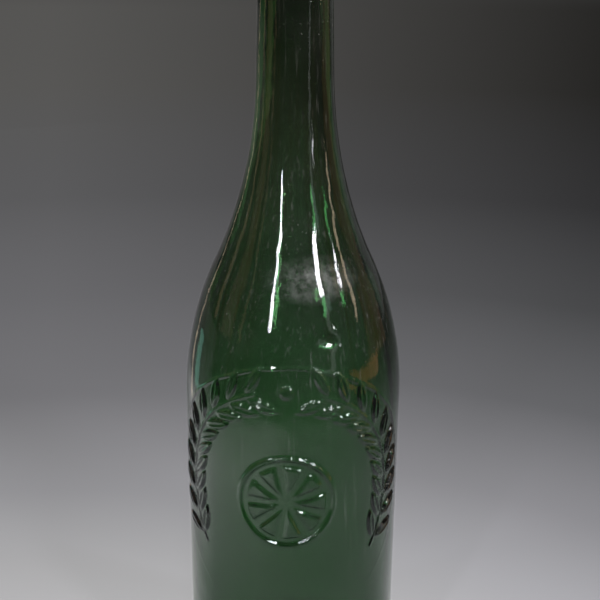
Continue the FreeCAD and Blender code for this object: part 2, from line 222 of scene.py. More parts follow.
def garland_relief(across, up):
    """Two branches of paired leaves that climb the panel's sides to a bead at its top."""
    from_middle = np.hypot(across, up)
    from_top = np.degrees(np.arctan2(np.abs(across), up))
    on_stem = (from_top < GARLAND_REACH + STEM_TAIL) & (from_top > GARLAND_OPENING - STEM_TIP)
    height = STEM_HEIGHT * ridge(from_middle - GARLAND_RADIUS, STEM_WIDTH) * on_stem
    for side in (-1, 1):
        for station in range(LEAF_STATIONS):
            share = station / (LEAF_STATIONS - 1)
            turn = math.radians(GARLAND_REACH + (GARLAND_OPENING - GARLAND_REACH) * share)
            stem_at = (side * GARLAND_RADIUS * math.sin(turn), GARLAND_RADIUS * math.cos(turn))
            growing = math.pi / 2 + side * (math.pi / 2 - turn)
            for fork in (-1, 1):
                heading = growing + fork * math.radians(LEAF_SPLAY)
                stalk = (LEAF_STALK * math.cos(heading), LEAF_STALK * math.sin(heading))
                base = (stem_at[0] + stalk[0], stem_at[1] + stalk[1])
                height = np.maximum(height, leaf_relief(across, up, base, heading))
    from_bead = np.hypot(across, up - GARLAND_RADIUS)
    return np.maximum(height, RELIEF * crowned(CREST_BEAD / 2 - from_bead))


def slice_relief(across, up):
    """A round slice of fruit in the middle of the panel: its rind and its segments."""
    from_middle = np.hypot(across, up)
    rind_middle = SLICE_RADIUS - SLICE_RIND / 2
    rind = crowned(SLICE_RIND / 2 - np.abs(from_middle - rind_middle))
    pitch = 2 * math.pi / SLICE_SEGMENTS
    flesh = SLICE_RADIUS - SLICE_RIND - SLICE_PITH
    in_segment = np.abs((np.arctan2(up, across) + pitch / 2) % pitch - pitch / 2)
    half_spread = (pitch - SLICE_GAP / flesh) / 2
    side_depth = (from_middle - SLICE_HEART) * np.sin(half_spread) - from_middle * np.sin(in_segment)
    depth = np.minimum(np.minimum(side_depth, flesh - from_middle), from_middle - SLICE_HEART)
    return RELIEF * np.maximum(rind, FLESH_HEIGHT * crowned(depth))


def panel_relief(across, up):
    """The raised design and the seam of the plate, in millimetres, on the unrolled wall."""
    bearing = np.arctan2(across, up)
    wander = sum(swing * np.sin(turns * bearing + start) for turns, swing, start in SEAM_WANDER)
    from_middle = np.hypot(across * PLATE_RISE / PLATE_RADIUS, up)
    left_over = np.clip(SEAM_MIDDLE + SEAM_GAIN * up / PLATE_RISE, SEAM_LEAST, 1.0)
    seam = SEAM_HEIGHT * left_over * ridge(from_middle - PLATE_RISE - wander, SEAM_WIDTH)
    return np.maximum(seam, np.maximum(garland_relief(across, up), slice_relief(across, up)))


# An old knock on the shoulder and a chip beside it: bearing from the front in degrees, then height,
# width, rise and depth
KNOCKS = ((22.0, 159.6, 4.0, 2.0, 0.6), (23.6, 161.0, 1.0, 0.8, 0.16))


def knock_depth(angles, heights):
    """How far small bruises sink into the outside of the glass."""
    depth = np.zeros(np.broadcast(angles, heights).shape)
    for bearing, height, width, rise, sink in KNOCKS:
        across = (angles - math.radians(bearing)) * BODY_RADIUS / width
        depth = np.maximum(depth, sink * ridge(np.hypot(across, (heights - height) / rise), 1.0))
    return depth


# How many waves a ripple has, and the least share of its pace that one of them keeps
WAVES, SLOWEST = 9, 0.2


def ripple(angles, heights, seed, turns, pace):
    """Slow uneven waves, from -1 to 1, with a range of turns round the glass and a length up it."""
    rng = np.random.default_rng(seed)
    total = np.zeros(np.broadcast(angles, heights).shape)
    for _ in range(WAVES):
        around = rng.integers(*turns)
        rise = rng.uniform(SLOWEST, 1.0) * 2 * math.pi / pace
        total += np.sin(around * angles + rise * heights + rng.uniform(0, 2 * math.pi)) / WAVES
    return total


def turned_mesh(rows, angles, lift):
    """Points and faces of a closed form turned about Z, with each point moved out by its lift."""
    middle = np.array(rows[1:-1])
    radius = middle[:, :1] + lift
    height = np.broadcast_to(middle[:, 1:], radius.shape)
    ring = np.stack([radius * np.sin(angles), -radius * np.cos(angles), height], axis=-1)
    count, columns = radius.shape
    points = np.vstack([ring.reshape(-1, 3), [(0.0, 0.0, rows[0][1])], [(0.0, 0.0, rows[-1][1])]])
    index = np.arange(count * columns).reshape(count, columns)
    after = np.roll(index, -1, axis=1)
    quads = np.stack([index[:-1], after[:-1], after[1:], index[1:]], axis=-1).reshape(-1, 4)
    first, last = count * columns, count * columns + 1
    start_fan = [(first, b, a) for a, b in zip(index[0], after[0])]
    end_fan = [(a, b, last) for a, b in zip(index[-1], after[-1])]
    return points, quads.tolist() + start_fan + end_fan


def smooth_object(name, points, faces):
    """A smooth-shaded mesh object from points in millimetres."""
    mesh = bpy.data.meshes.new(name)
    mesh.from_pydata((np.asarray(points) / METRE).tolist(), [], faces)
    mesh.validate()
    mesh.polygons.foreach_set("use_smooth", [True] * len(mesh.polygons))
    made = bpy.data.objects.new(name, mesh)
    bpy.context.scene.collection.objects.link(made)
    return made


# The front, where the panel is, has finer columns than the back
FRONT_ARC, FRONT_STEP, BACK_STEP = 80.0, 0.6, 3.0
front = np.radians(np.arange(-FRONT_ARC, FRONT_ARC, FRONT_STEP))
back = np.radians(np.arange(FRONT_ARC, 360.0 - FRONT_ARC, BACK_STEP))
columns = np.concatenate([front, back])
outside, inside = outside_rows(), inside_rows()
bottle_rows = outside + inside
row_radii, row_heights = (np.array(values)[:, None] for values in zip(*bottle_rows[1:-1]))
is_outer = (np.arange(len(row_heights)) < len(outside) - 1)[:, None]

signed = (columns + math.pi) % (2 * math.pi) - math.pi
raised = panel_relief(*np.broadcast_arrays(signed * BODY_RADIUS, row_heights - PANEL_HEIGHT))
on_panel = is_outer & (np.abs(row_heights - PANEL_HEIGHT) < PLATE_RADIUS + RELIEF_MARGIN)

# The outside keeps slow waves of the mould, and the inside is uneven, with lines drawn up it. Each has
# a swing in millimetres, a seed, a range of turns round the glass and a length up it. They calm down
# below the finish and at the foot.
OUTER_WAVES = ((0.13, 3, (1, 11), 38.0), (0.045, 11, (4, 22), 8.0))
INNER_WAVES = ((0.3, 8, (1, 9), 90.0), (0.09, 5, (12, 30), 400.0), (0.05, 6, (4, 16), 36.0))
CALM_AT_FINISH, CALM_FOOT, CALM_AT_FOOT = 20.0, 1.0, 12.0


def all_waves(kinds):
    """The waves of one face of the glass, at each of its points."""
    return sum(swing * ripple(columns, row_heights, *kind) for swing, *kind in kinds)


outer_waves = all_waves(OUTER_WAVES) - knock_depth(signed, row_heights)
inner_waves = all_waves(INNER_WAVES) * (row_radii / BODY_RADIUS)
below_finish = np.clip((FINISH_START - row_heights) / CALM_AT_FINISH, 0.0, 1.0)
above_foot = np.clip((row_heights - CALM_FOOT) / CALM_AT_FOOT, 0.0, 1.0)
waves = below_finish * above_foot * np.where(is_outer, outer_waves, inner_waves)
lift = np.where(on_panel, raised, 0.0) + waves
bottle_points, bottle_faces = turned_mesh(bottle_rows, columns, lift)

# Seeds are small air bubbles in the wall, drawn out upwards as the glass was blown
SEED_COUNT = 130
SEED_LOW, SEED_HIGH, SEED_MARGIN = 24.0, 265.0, 5.0
SEED_DEPTHS, SEED_SIZES, SEED_STRETCHES = (0.9, 1.8), (0.1, 0.34), (1.2, 2.4)
seed_form = bmesh.new()
bmesh.ops.create_icosphere(seed_form, subdivisions=2, radius=1.0)
seed_form.verts.index_update()
seed_points = np.array([v.co[:] for v in seed_form.verts])
seed_faces = [[v.index for v in reversed(f.verts)] for f in seed_form.faces]
seed_form.free()
lowest, highest = SEED_LOW - SEED_MARGIN, SEED_HIGH + SEED_MARGIN
outer_at = np.array(sorted((z, r) for r, z in outside if lowest < z < highest))
seeding = np.random.default_rng(21)
for _ in range(SEED_COUNT):
    height = seeding.uniform(SEED_LOW, SEED_HIGH)
    radius = np.interp(height, outer_at[:, 0], outer_at[:, 1]) - seeding.uniform(*SEED_DEPTHS)
    angle = seeding.uniform(0, 2 * math.pi)
    half = seeding.uniform(*SEED_SIZES)
    form = seed_points * (half, half, half * seeding.uniform(*SEED_STRETCHES))
    form = form + (radius * math.sin(angle), -radius * math.cos(angle), height)
    start = len(bottle_points)
    bottle_points = np.vstack([bottle_points, form])
    bottle_faces += [[start + k for k in face] for face in seed_faces]

bottle = smooth_object("green_bottle", bottle_points, bottle_faces)


def linear(code):
    """Linear RGBA from an sRGB hex colour."""
    parts = [int(code[k : k + 2], 16) / 255 for k in (1, 3, 5)]
    return tuple(c / 12.92 if c <= 0.04045 else ((c + 0.055) / 1.055) ** 2.4 for c in parts) + (1.0,)


def node(tree, kind, inputs=None, **settings):
    """Adds a node with its settings, its input values and the nodes or sockets that feed it."""
    made = tree.nodes.new(kind)
    for name, value in settings.items():
        setattr(made, name, value)
    for name, value in (inputs or {}).items():
        if isinstance(value, bpy.types.Node):
            value = next(socket for socket in value.outputs if socket.enabled)
        if isinstance(value, bpy.types.NodeSocket):
            tree.links.new(value, made.inputs[name])
        else:
            made.inputs[name].default_value = value
    return made


def new_material(name):
    """An empty material and its tree."""
    material = bpy.data.materials.new(name)
    material.use_nodes = True
    material.node_tree.nodes.clear()
    return material, material.node_tree


def ranged(low, high, to_low=0.0, to_high=1.0):
    """The inputs of a range that runs from one pair of values to another."""
    return {"From Min": low, "From Max": high, "To Min": to_low, "To Max": to_high}


# Iron-green bottle glass, blown and fire-polished: clear and hard-edged, green that darkens fast
# with thickness, with olive cords drawn up the shoulder and neck in the melt. Old dust lies on it in
# patches with specks and rub marks, and one place on the shoulder is worn milky. Pattern sizes are
# in millimetres, and the dust, rub marks and drawn lines are coarser than real ones, so that they show.
PATCH, RUB, SPECK, SCUFF, CORD, PEEL, LINE = 30.0, 1.2, 1.4, 5.0, 3.5, 5.0, 0.9
PEEL_RISE, LINE_RISE = 0.05, 0.007
# The share of the glass that each kind of dirt or wear hides at most
FILM, DUST, RUBBED, GRIT, WORN = 0.004, 0.005, 0.04, 0.28, 0.2
# The tilts of the rub marks, and how slowly rub marks, lines and cords change along their length
RUB_TILTS, RUB_DRAW, LINE_DRAW, CORD_DRAW = (0.5, 1.3), 0.06, 0.04, 0.05
# The worn place and its reach are in metres
WORN_PLACE, WORN_SHAPE = (0.009, -0.0275, 0.179), (0.9, 0.9, 1.9)
WORN_MIDDLE, WORN_REACH = 0.003, 0.016
green_glass, tree = new_material("iron_green_bottle_glass")
place = node(tree, "ShaderNodeTexCoord").outputs["Object"]


def glass_cover(vector, size, detail, roughness, limits, share=1.0):
    """How much a pattern of a size in millimetres covers the glass, up to a share of it."""
    look = {"Vector": vector, "Scale": METRE / size, "Detail": detail, "Roughness": roughness}
    pattern = node(tree, "ShaderNodeTexNoise", look)
    return node(tree, "ShaderNodeMapRange", {"Value": pattern, **ranged(*limits, 0.0, share)})


dusty = glass_cover(place, PATCH, 5.0, 0.62, (0.42, 0.62))
cover = node(tree, "ShaderNodeMath", {0: dusty, 1: DUST, 2: FILM}, operation="MULTIPLY_ADD")
for tilt in RUB_TILTS:
    slanted = {"Vector": place, "Scale": (1.0, 1.0, RUB_DRAW), "Rotation": (0.0, tilt, 0.0)}
    drawn = node(tree, "ShaderNodeMapping", slanted)
    rubs = glass_cover(drawn, RUB, 3.0, 0.5, (0.62, 0.78), RUBBED)
    cover = node(tree, "ShaderNodeMath", {0: cover, 1: rubs}, operation="ADD")

# Specks settle where the dust is, each with a strength of its own
grit = node(tree, "ShaderNodeTexVoronoi", {"Vector": place, "Scale": METRE / SPECK})
specks = node(tree, "ShaderNodeMapRange", {"Value": grit, **ranged(0.06, 0.16, GRIT, 0.0)})
lot = node(tree, "ShaderNodeSeparateColor", {"Color": grit.outputs["Color"]}).outputs["Red"]
strength = node(tree, "ShaderNodeMapRange", {"Value": lot, **ranged(0.35, 1.0)})
settled = node(tree, "ShaderNodeMath", {0: dusty, 1: strength}, operation="MULTIPLY")
cover = node(tree, "ShaderNodeMath", {0: specks, 1: settled, 2: cover}, operation="MULTIPLY_ADD")

# The worn place fades out from its middle
from_worn = node(tree, "ShaderNodeVectorMath", {0: place, 1: WORN_PLACE}, operation="SUBTRACT")
flattened = node(tree, "ShaderNodeVectorMath", {0: from_worn, 1: WORN_SHAPE}, operation="MULTIPLY")
apart = node(tree, "ShaderNodeVectorMath", {0: flattened}, operation="LENGTH")
fading = ranged(WORN_MIDDLE, WORN_REACH, 1.0, 0.0)
near_worn = node(tree, "ShaderNodeMapRange", {"Value": apart, **fading})
scuffs = glass_cover(place, SCUFF, 10.0, 0.8, (0.4, 0.7), WORN)
cover = node(tree, "ShaderNodeMath", {0: near_worn, 1: scuffs, 2: cover}, operation="MULTIPLY_ADD")
see_through = node(tree, "ShaderNodeMapRange", {"Value": cover, **ranged(0.0, 1.0, 1.0, 0.0)})
gloss = node(tree, "ShaderNodeMapRange", {"Value": cover, **ranged(0.0, 0.3, 0.008, 0.16)})

# The skin has a slight orange peel, and fine lines drawn up it
peel_look = {"Vector": place, "Scale": METRE / PEEL, "Detail": 4.0, "Roughness": 0.72}
peel = node(tree, "ShaderNodeTexNoise", peel_look)
skin = node(tree, "ShaderNodeBump", {"Height": peel, "Strength": 1.0, "Distance": PEEL_RISE / METRE})
upward = node(tree, "ShaderNodeMapping", {"Vector": place, "Scale": (1.0, 1.0, LINE_DRAW)})
lines = node(tree, "ShaderNodeTexNoise", {"Vector": upward, "Scale": METRE / LINE, "Detail": 2.0})
line_look = {"Height": lines, "Strength": 1.0, "Distance": LINE_RISE / METRE, "Normal": skin}
skin = node(tree, "ShaderNodeBump", line_look)

# Cords run up the glass, so their pattern is drawn on its bearing round the axis. They start above
# the panel and leave the very front clear.
level = node(tree, "ShaderNodeVectorMath", {0: place, 1: (1.0, 1.0, 0.0)}, operation="MULTIPLY")
facing = node(tree, "ShaderNodeVectorMath", {0: level}, operation="NORMALIZE")
along_wall = node(tree, "ShaderNodeMapping", {"Vector": place, "Scale": (0.0, 0.0, CORD_DRAW)})
girth = {0: facing, 1: (BODY_RADIUS / METRE,) * 3, 2: along_wall}
on_wall = node(tree, "ShaderNodeVectorMath", girth, operation="MULTIPLY_ADD")
cords = glass_cover(on_wall, CORD, 4.0, 0.6, (0.54, 0.38))
frontal = node(tree, "ShaderNodeSeparateXYZ", {"Vector": facing}).outputs["Y"]
off_front = node(tree, "ShaderNodeMapRange", {"Value": frontal, **ranged(-0.98, -0.85)})
heights = node(tree, "ShaderNodeSeparateXYZ", {"Vector": place}).outputs["Z"]
above_panel = node(tree, "ShaderNodeMapRange", {"Value": heights, **ranged(0.13, 0.165)})
for limit in (off_front, above_panel):
    cords = node(tree, "ShaderNodeMath", {0: cords, 1: limit}, operation="MULTIPLY")

# The glass is tinted darker low in the body and from the shoulder up, and olive in its cords
low_down = node(tree, "ShaderNodeMapRange", {"Value": heights, **ranged(0.13, 0.07)})
up_neck = node(tree, "ShaderNodeMapRange", {"Value": heights, **ranged(0.16, 0.23)})
tint = linear("#f8fbf4")
for share, code in ((low_down, "#d0d4ce"), (up_neck, "#d8d6c8"), (cords, "#d6c5a4")):
    layers = {"Factor": share, "A": tint, "B": linear(code)}
    tint = node(tree, "ShaderNodeMix", layers, data_type="RGBA")
glass_look = {"Base Color": tint, "IOR": 1.52, "Roughness": gloss, "Transmission Weight": see_through}
glass_shader = node(tree, "ShaderNodeBsdfPrincipled", {**glass_look, "Normal": skin})
green_depth = node(tree, "ShaderNodeVolumeAbsorption", {"Color": linear("#30b94b"), "Density": 350.0})
node(tree, "ShaderNodeOutputMaterial", {"Surface": glass_shader, "Volume": green_depth})
bottle.data.materials.append(green_glass)
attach(bottle, "bottle")
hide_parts("glass_bottle")

# Crown shell
# A disc of tinplate that a crowning head drew down over the lip: a flat top, a rounded corner
# and a skirt pressed into flutes. It grips under the lip and is prised off.

CAP_INSIDE, CAP_SHEET = 13.45, 0.3
CAP_CORNER = 1.6
BAND_END = 299.9
FLUTES, FLUTE_DEPTH = 24, 1.0
FLUTE_COLUMNS, FLUTE_FLARE = 12, 1.15
UNEVEN, UNEVEN_SEED, UNEVEN_TURNS, UNEVEN_PACE = 0.06, 14, (2, 9), 60.0
DENT, DENT_PACES, DENT_STARTS = 0.04, (0.36, 0.29), (0.9, 0.4)
# A hair's breadth tells the points of one face from those of the next
HAIR = 0.01
SKIRT_END, CAP_TOP = (corner[2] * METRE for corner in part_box("crown_shell"))
cap_outside, cap_under = CAP_INSIDE + CAP_SHEET, CAP_TOP - CAP_SHEET


def crown_rows():
    """The sheet's section, from the middle of its underside down the skirt and back over the top."""
    inner_corner = CAP_CORNER - CAP_SHEET
    inner_flat, outer_flat = CAP_INSIDE - inner_corner, cap_outside - CAP_CORNER
    corner_foot, edge_top = cap_under - inner_corner, SKIRT_END + CAP_SHEET / 2
    rows = [(0.0, cap_under)]
    rows += run_points(rows[-1], (inner_flat, cap_under), step=1.2)
    rows += arc_points(rows[-1], (CAP_INSIDE, corner_foot), (inner_flat, corner_foot), step=0.4)
    rows += run_points(rows[-1], (CAP_INSIDE, BAND_END), step=0.5)
    rows += run_points(rows[-1], (CAP_INSIDE, edge_top), step=0.35)
    rows += [(CAP_INSIDE + share * CAP_SHEET, SKIRT_END) for share in (0.25, 0.75)]
    rows += [(cap_outside, edge_top)]
    rows += run_points(rows[-1], (cap_outside, BAND_END), step=0.35)
    rows += run_points(rows[-1], (cap_outside, CAP_TOP - CAP_CORNER), step=0.5)
    rows += arc_points(rows[-1], (outer_flat, CAP_TOP), (outer_flat, CAP_TOP - CAP_CORNER), step=0.4)
    return rows + run_points(rows[-1], (0.0, CAP_TOP), step=1.2)


cap_columns = np.linspace(0.0, 2 * math.pi, FLUTES * FLUTE_COLUMNS, endpoint=False)
cap_section = crown_rows()
cap_heights = np.array([z for _, z in cap_section[1:-1]])[:, None]
fall = np.clip((BAND_END - cap_heights) / (BAND_END - SKIRT_END), 0.0, 1.0) ** FLUTE_FLARE
uneven = 1.0 + UNEVEN * ripple(cap_columns, cap_heights, UNEVEN_SEED, UNEVEN_TURNS, UNEVEN_PACE)
flutes = (0.5 + 0.5 * np.cos(FLUTES * cap_columns)) * uneven
cap_points, cap_faces = turned_mesh(cap_section, cap_columns, FLUTE_DEPTH * fall * flutes)

# Handling has left the flat top with shallow dents, in both faces of the sheet
on_top = cap_points[:, 2] > cap_under - HAIR
dents_across = np.sin(DENT_PACES[0] * cap_points[:, 0] + DENT_STARTS[0])
dents_along = np.sin(DENT_PACES[1] * cap_points[:, 1] + DENT_STARTS[1])
cap_points[:, 2] += np.where(on_top, DENT + DENT * dents_across * dents_along, 0.0)
crown = smooth_object("fluted_crown", cap_points, cap_faces)


def set_stops(ramp, stops):
    """Gives a colour ramp its stops, each a position from 0 to 1 and a colour."""
    ends = ramp.color_ramp.elements
    for end, (position, code) in zip(ends, (stops[0], stops[-1])):
        end.position, end.color = position, linear(code)
    for position, code in stops[1:-1]:
        ends.new(position).color = linear(code)


# Tinned steel sheet, rolled, pressed and handled: grey, dulled in clouds, with fine scratches along
# its rolling, and brown where the cut rim has rusted through the tin. The scratches are drawn coarser
# than real ones, so that they show.
CLOUD, RUST, SCRATCH = 6.0, 0.9, 0.25
SCRATCH_DRAW, SCRATCH_TURN, SCRATCH_RISE = 0.06, 0.5, 0.02
RIM_REACH, RIM_RUST, RUST_ROUGHNESS = 3.0, 0.16, 0.4
tinplate, tree = new_material("tinned_steel_sheet")
place = node(tree, "ShaderNodeTexCoord").outputs["Object"]
cloud_look = {"Vector": place, "Scale": METRE / CLOUD, "Detail": 4.0, "Roughness": 0.6}
clouds = node(tree, "ShaderNodeTexNoise", cloud_look)
tin_tone = node(tree, "ShaderNodeValToRGB", {"Fac": clouds})
set_stops(tin_tone, ((0.35, "#7a7771"), (0.65, "#a5a29b")))
heights = node(tree, "ShaderNodeSeparateXYZ", {"Vector": place}).outputs["Z"]
rim = ranged(SKIRT_END / METRE, (SKIRT_END + RIM_REACH) / METRE, RIM_RUST, 0.0)
at_rim = node(tree, "ShaderNodeMapRange", {"Value": heights, **rim})
spot_look = {"Vector": place, "Scale": METRE / RUST, "Detail": 4.0, "Roughness": 0.7}
spots = node(tree, "ShaderNodeTexNoise", spot_look)
rusting = node(tree, "ShaderNodeMath", {0: spots, 1: at_rim}, operation="ADD")
rusty = node(tree, "ShaderNodeMapRange", {"Value": rusting, **ranged(0.64, 0.7)})
layers = {"Factor": rusty, "A": tin_tone, "B": linear("#6a3c1e")}
sheet_tone = node(tree, "ShaderNodeMix", layers, data_type="RGBA")
bare = node(tree, "ShaderNodeMapRange", {"Value": rusty, **ranged(0.0, 1.0, 1.0, 0.0)})
dulled = node(tree, "ShaderNodeMapRange", {"Value": clouds, **ranged(0.35, 0.65, 0.6, 0.45)})
roughened = {0: rusty, 1: RUST_ROUGHNESS, 2: dulled}
rough = node(tree, "ShaderNodeMath", roughened, operation="MULTIPLY_ADD")
rolled = {"Vector": place, "Scale": (1.0, SCRATCH_DRAW, 1.0), "Rotation": (0.0, 0.0, SCRATCH_TURN)}
streaked = node(tree, "ShaderNodeMapping", rolled)
scratch_look = {"Vector": streaked, "Scale": METRE / SCRATCH, "Detail": 2.0}
scratches = node(tree, "ShaderNodeTexNoise", scratch_look)
scratched = {"Height": scratches, "Strength": 0.5, "Distance": SCRATCH_RISE / METRE}
sheet_skin = node(tree, "ShaderNodeBump", scratched)
tin_look = {"Base Color": sheet_tone, "Metallic": bare, "Roughness": rough, "Normal": sheet_skin}
tin_shader = node(tree, "ShaderNodeBsdfPrincipled", tin_look)
node(tree, "ShaderNodeOutputMaterial", {"Surface": tin_shader})
crown.data.materials.append(tinplate)
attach(crown, "cap")
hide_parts("crown_shell")

# Cork liner
# A disc of ground cork pressed with glue and stamped out, pushed up under the crown's top. Its face
# is pitted between the grains, and the lip beds into it.

GRAIN, GRAIN_PACKING = 1.2, 0.7
PIT, PIT_WIDTH = 0.09, 0.2
RECESS_RADIUS, RECESS = 8.0, 0.15
RECESS_RIM = 0.1
CORK_ROUND = 1.45
CORK_COLUMNS = 264
cork_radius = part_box("cork_liner")[1][0] * METRE


def cork_rows():
    """The disc's section, from the middle of its recess out, up its edge and back over its top."""
    round_start = (cork_radius, cap_under - CORK_ROUND)
    flat = cork_radius - CORK_ROUND
    rows = [(0.0, TOP + RECESS)]
    rows += run_points(rows[-1], (RECESS_RADIUS, TOP + RECESS), step=0.8)
    rows += [(RECESS_RADIUS, TOP)]
    rows += run_points(rows[-1], (cork_radius, TOP), step=0.3)
    rows += run_points(rows[-1], round_start, step=0.25)
    rows += arc_points(rows[-1], (flat, cap_under), (flat, round_start[1]), step=0.3)
    return rows + run_points(rows[-1], (0.0, cap_under), step=1.5)


cork_columns = np.linspace(0.0, 2 * math.pi, CORK_COLUMNS, endpoint=False)
cork_points, cork_faces = turned_mesh(cork_rows(), cork_columns, np.zeros((1, CORK_COLUMNS)))
graining = np.random.default_rng(17)
grain_count = round(math.pi * cork_radius**2 * (cap_under - TOP) / (GRAIN_PACKING * GRAIN**3))
grain_turns = graining.uniform(0, 2 * math.pi, grain_count)
grain_reaches = cork_radius * np.sqrt(graining.uniform(0, 1, grain_count))
grain_levels = graining.uniform(TOP, cap_under, grain_count)
grain_spread = (grain_reaches * np.sin(grain_turns), grain_reaches * np.cos(grain_turns))
grains = np.stack([*grain_spread, grain_levels], axis=1)
spans = np.sort(np.linalg.norm(cork_points[:, None] - grains[None], axis=2), axis=1)
pits = PIT * ridge(spans[:, 1] - spans[:, 0], PIT_WIDTH)
cork_reach = np.hypot(cork_points[:, 0], cork_points[:, 1])
on_face = (cork_points[:, 2] < TOP + HAIR) & (cork_reach > RECESS_RADIUS + RECESS_RIM)
on_edge = (cork_reach > cork_radius - HAIR) & (cork_points[:, 2] > TOP + HAIR)
cork_points[:, 2] += np.where(on_face, pits, 0.0)
cork_points[:, :2] *= np.where(on_edge, 1.0 - pits / cork_radius, 1.0)[:, None]
cork = smooth_object("ground_cork_disc", cork_points, cork_faces)

# Pressed ground cork: dry and dull, tan grains of many shades with dark bark specks among them.
FIBRE, FIBRE_RISE = 0.3, 0.05
ground_cork, tree = new_material("pressed_ground_cork")
place = node(tree, "ShaderNodeTexCoord").outputs["Object"]
grain_cells = node(tree, "ShaderNodeTexVoronoi", {"Vector": place, "Scale": METRE / GRAIN})
lot = node(tree, "ShaderNodeSeparateColor", {"Color": grain_cells.outputs["Color"]}).outputs["Red"]
cork_tone = node(tree, "ShaderNodeValToRGB", {"Fac": lot})
set_stops(cork_tone, ((0.0, "#6b4526"), (0.12, "#96683b"), (0.55, "#b5875a"), (1.0, "#c99f6c")))
fibres = node(tree, "ShaderNodeTexNoise", {"Vector": place, "Scale": METRE / FIBRE, "Detail": 3.0})
fibre_tone = node(tree, "ShaderNodeMapRange", {"Value": fibres, **ranged(0.3, 0.7, 0.75, 1.1)})
cork_colour = node(tree, "ShaderNodeVectorMath", {0: cork_tone, 1: fibre_tone}, operation="MULTIPLY")
fibre_look = {"Height": fibres, "Strength": 0.6, "Distance": FIBRE_RISE / METRE}
cork_skin = node(tree, "ShaderNodeBump", fibre_look)
cork_look = {"Base Color": cork_colour, "Roughness": 0.88, "IOR": 1.4, "Normal": cork_skin}
cork_shader = node(tree, "ShaderNodeBsdfPrincipled", cork_look)
node(tree, "ShaderNodeOutputMaterial", {"Surface": cork_shader})
cork.data.materials.append(ground_cork)
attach(cork, "cap")
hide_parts("cork_liner")

# Foil spot
# A small disc of bright foil stuck in the middle of the cork, so that the drink touches no cork. It
# was pressed on by hand, so it is creased.

CREASES = 14
CREASE, CREASE_SPREAD = 0.07, 0.5
CREASE_REACH, CREASE_DEPTHS = 0.8, (0.3, 1.0)
FOIL_COLUMNS = 240
foil_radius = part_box("foil_spot")[1][0] * METRE
foil_rows = [(0.0, TOP)]
foil_rows += run_points(foil_rows[-1], (foil_radius, TOP), step=0.2)
foil_rows += [(foil_radius, TOP + RECESS)]
foil_rows += run_points(foil_rows[-1], (0.0, TOP + RECESS), step=1.6)
foil_columns = np.linspace(0.0, 2 * math.pi, FOIL_COLUMNS, endpoint=False)
foil_points, foil_faces = turned_mesh(foil_rows, foil_columns, np.zeros((1, FOIL_COLUMNS)))
creasing = np.random.default_rng(4)
folds = np.zeros(len(foil_points))
for _ in range(CREASES):
    heading = creasing.uniform(0, math.pi)
    offset = creasing.uniform(-CREASE_REACH, CREASE_REACH) * foil_radius
    from_fold = foil_points[:, 0] * math.cos(heading) + foil_points[:, 1] * math.sin(heading) - offset
    crease = creasing.uniform(*CREASE_DEPTHS) * np.exp(-np.abs(from_fold) / CREASE_SPREAD)
    folds = np.maximum(folds, crease)
foil_points[:, 2] += np.where(foil_points[:, 2] < TOP + HAIR, CREASE * folds, 0.0)
foil = smooth_object("creased_foil_disc", foil_points, foil_faces)

# Soft tin foil, rolled thin and burnished: bright, with dull smears where the drink has marked it.
SMEAR = 3.0
tin_foil, tree = new_material("burnished_tin_foil")
place = node(tree, "ShaderNodeTexCoord").outputs["Object"]
smear_look = {"Vector": place, "Scale": METRE / SMEAR, "Detail": 5.0, "Roughness": 0.6}
smears = node(tree, "ShaderNodeTexNoise", smear_look)
foil_tone = node(tree, "ShaderNodeValToRGB", {"Fac": smears})
set_stops(foil_tone, ((0.35, "#b3b0a6"), (0.6, "#dddcd6")))
foil_dull = node(tree, "ShaderNodeMapRange", {"Value": smears, **ranged(0.35, 0.6, 0.4, 0.16)})
foil_look = {"Base Color": foil_tone, "Metallic": 1.0, "Roughness": foil_dull}
foil_shader = node(tree, "ShaderNodeBsdfPrincipled", foil_look)
node(tree, "ShaderNodeOutputMaterial", {"Surface": foil_shader})
foil.data.materials.append(tin_foil)
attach(foil, "cap")
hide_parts("foil_spot")

# Studio floor
# A sweep of grey paper with a painted pool of light, palest in front of the bottle to the left, that
# falls away to mid grey behind it and to dark grey on the right.

FLOOR_RADIUS, FLOOR_SIDES = 60.0, 96
floor_form = bmesh.new()
bmesh.ops.create_circle(floor_form, cap_ends=True, radius=FLOOR_RADIUS, segments=FLOOR_SIDES)
floor_mesh = bpy.data.meshes.new("studio_floor")
floor_form.to_mesh(floor_mesh)
floor_form.free()
floor = bpy.data.objects.new("studio_floor", floor_mesh)
bpy.context.scene.collection.objects.link(floor)

# Each painted shade of the falloff lies at a distance in metres from a place in front, on the left and
# on the right, and the two meet along a slant that widens with that distance
PALEST, FADED = (-0.10, -0.25, 0.0), 2.6
LEFT_PAINTED_FALLOFF = (
    (0.0, "#f2f2f2"), (0.23, "#e0e0e0"), (0.317, "#c6c6c6"), (0.394, "#a8a8aa"), (0.533, "#858587"),
    (0.76, "#7a7a7c"), (1.19, "#6e6e6f"), (FADED, "#706f6d"),
)
RIGHT_PAINTED_FALLOFF = (
    (0.0, "#f2f2f2"), (0.28, "#e0e0e0"), (0.381, "#c1c1c4"), (0.454, "#9f9fa2"), (0.589, "#727375"),
    (0.812, "#535455"), (1.24, "#3b3b3c"), (FADED, "#2c2b29"),
)
SLANT_START, SLANT_REACH = 0.12, 0.28
FAR_START, FAR_END = 10.0, 40.0
paper_with_painted_light, tree = new_material("grey_paper_with_painted_light")
place = node(tree, "ShaderNodeTexCoord").outputs["Object"]
reach = node(tree, "ShaderNodeVectorMath", {0: place, 1: PALEST}, operation="DISTANCE")
falling = node(tree, "ShaderNodeMapRange", {"Value": reach, **ranged(0.0, FADED)})
sides = []
for falloff_stops in (LEFT_PAINTED_FALLOFF, RIGHT_PAINTED_FALLOFF):
    side = node(tree, "ShaderNodeValToRGB", {"Fac": falling})
    set_stops(side, [(distance / FADED, code) for distance, code in falloff_stops])
    sides.append(side)
